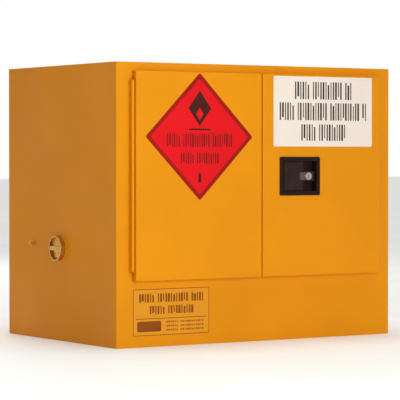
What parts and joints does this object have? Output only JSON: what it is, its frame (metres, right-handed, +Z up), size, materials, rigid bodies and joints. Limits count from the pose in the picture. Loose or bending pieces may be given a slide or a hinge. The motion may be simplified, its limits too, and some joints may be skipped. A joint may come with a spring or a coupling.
{
  "type": "flammable storage cabinet",
  "caption": "Low double-walled steel safety cabinet with two hinged doors over a sump, a recessed paddle latch, a perforated shelf and vent ports.",
  "frame": {"origin": "on the floor, under the centre of the whole cabinet's bounding box", "axes": "+X to the right seen from the front, +Y to the back (the doors face -Y), +Z up"},
  "size_m": [0.965, 0.644, 0.78],
  "materials": {
    "body_paint": "satin powder coat, safety yellow",
    "door_paint": "satin powder coat, safety yellow",
    "tray_paint": "satin powder coat, safety yellow",
    "zinc": "zinc plated",
    "brass": "dull cast brass",
    "spring_steel": "drawn wire",
    "mesh_steel": "stainless",
    "rod_steel": "bright drawn",
    "latch_black": "black textured",
    "paddle_black": "black, slightly worn",
    "screw_black": "blackened",
    "lock_chrome": "polished",
    "seal": "matt",
    "rubber_seal": "matt",
    "red_label": "vinyl film",
    "white_sign": "vinyl film",
    "yellow_label": "vinyl film"
  },
  "bodies": {
    "root": {"outer_side_left": "body_paint", "outer_side_right": "body_paint", "outer_top": "body_paint", "outer_back": "body_paint", "outer_base": "body_paint", "front_sill": "body_paint", "inner_side_left": "body_paint", "inner_side_right": "body_paint", "inner_top": "body_paint", "inner_back": "body_paint", "sump_tray": "tray_paint", "sump_rims": "tray_paint", "wall_spacers": "zinc", "shelf_strips": "zinc", "shelf_clips": "zinc", "vent_socket_left": "body_paint", "vent_socket_right": "body_paint", "flame_arrestor_left": "mesh_steel", "flame_arrestor_right": "mesh_steel", "earth_stud": "brass", "earth_nut": "brass", "frame_leaf_left": "body_paint", "frame_leaf_right": "body_paint", "hinge_pin_left": "body_paint", "hinge_pin_right": "body_paint", "frame_rivets": "zinc", "door_seal": "seal", "strike_plates": "zinc", "capacity_label": "yellow_label"},
    "left_door": {"left_door_skin": "door_paint", "left_door_liner": "door_paint", "left_door_stiffener": "zinc", "left_door_leaf": "door_paint", "left_door_rivets": "zinc", "hazard_diamond": "red_label", "tongue_keeper": "zinc"},
    "right_door": {"right_door_skin": "door_paint", "right_door_liner": "door_paint", "right_door_stiffener": "zinc", "right_door_leaf": "door_paint", "right_door_rivets": "zinc", "notice_sign": "white_sign", "latch_housing": "latch_black", "latch_screws": "screw_black", "paddle_pin": "zinc", "paddle_spring": "spring_steel", "rod_guides": "zinc"},
    "paddle": {"latch_paddle": "paddle_black", "lock_barrel": "lock_chrome"},
    "lock": {"lock_plug": "lock_chrome"},
    "cam": {"latch_cam": "rod_steel"},
    "tongue": {"latch_tongue": "zinc"},
    "rod_top": {"latch_rod_top": "rod_steel"},
    "rod_bottom": {"latch_rod_bottom": "rod_steel"},
    "shelf": {"shelf": "tray_paint"},
    "floor_tray": {"floor_tray": "tray_paint"},
    "bung_left": {"vent_bung_left": "brass", "bung_seal_left": "rubber_seal"},
    "bung_right": {"vent_bung_right": "brass", "bung_seal_right": "rubber_seal"}
  },
  "joints": [
    {"name": "left_door_hinge", "type": "hinge", "parent": "root", "child": "left_door", "pos_m": [-0.4225, -0.31, 0.4693], "axis": [0, 0, -1], "range_deg": [0, 110], "stiffness_Nm_per_rad": 1.5, "springref_deg": -22.92},
    {"name": "right_door_hinge", "type": "hinge", "parent": "root", "child": "right_door", "pos_m": [0.4225, -0.31, 0.4693], "axis": [0, 0, 1], "range_deg": [0, 110], "stiffness_Nm_per_rad": 1.5, "springref_deg": -22.92},
    {"name": "paddle_pull", "type": "hinge", "parent": "right_door", "child": "paddle", "pos_m": [0.0775, -0.309, 0.4665], "axis": [0, 0, -1], "range_deg": [0, 35], "stiffness_Nm_per_rad": 0.4, "springref_deg": -28.65},
    {"name": "lock_turn", "type": "hinge", "parent": "paddle", "child": "lock", "pos_m": [0.16, -0.312, 0.4665], "axis": [0, 1, 0], "range_deg": [0, 90]},
    {"name": "cam_turn", "type": "hinge", "parent": "right_door", "child": "cam", "pos_m": [0.129, -0.29, 0.4665], "axis": [0, -1, 0], "range_deg": [0, 31.33]},
    {"name": "tongue_slide", "type": "slide", "parent": "right_door", "child": "tongue", "axis": [1, 0, 0], "range_m": [0, 0.0111]},
    {"name": "rod_top_slide", "type": "slide", "parent": "right_door", "child": "rod_top", "axis": [0, 0, -1], "range_m": [0, 0.013]},
    {"name": "rod_bottom_slide", "type": "slide", "parent": "right_door", "child": "rod_bottom", "axis": [0, 0, 1], "range_m": [0, 0.013]},
    {"name": "shelf_lift", "type": "slide", "parent": "root", "child": "shelf", "axis": [0, 0, 1], "range_m": [0, 0.1]},
    {"name": "floor_tray_lift", "type": "slide", "parent": "root", "child": "floor_tray", "axis": [0, 0, 1], "range_m": [0, 0.12]},
    {"name": "bung_left_pull", "type": "slide", "parent": "root", "child": "bung_left", "axis": [-1, 0, 0], "range_m": [0, 0.05]},
    {"name": "bung_right_pull", "type": "slide", "parent": "root", "child": "bung_right", "axis": [1, 0, 0], "range_m": [0, 0.05]}
  ],
  "couplings": [
    {"joint": "cam_turn", "follows": "paddle_pull", "ratio": 0.8893},
    {"joint": "tongue_slide", "follows": "paddle_pull", "m_per_rad": 0.018007},
    {"joint": "rod_top_slide", "follows": "paddle_pull", "m_per_rad": 0.021082},
    {"joint": "rod_bottom_slide", "follows": "paddle_pull", "m_per_rad": 0.021082}
  ]
}
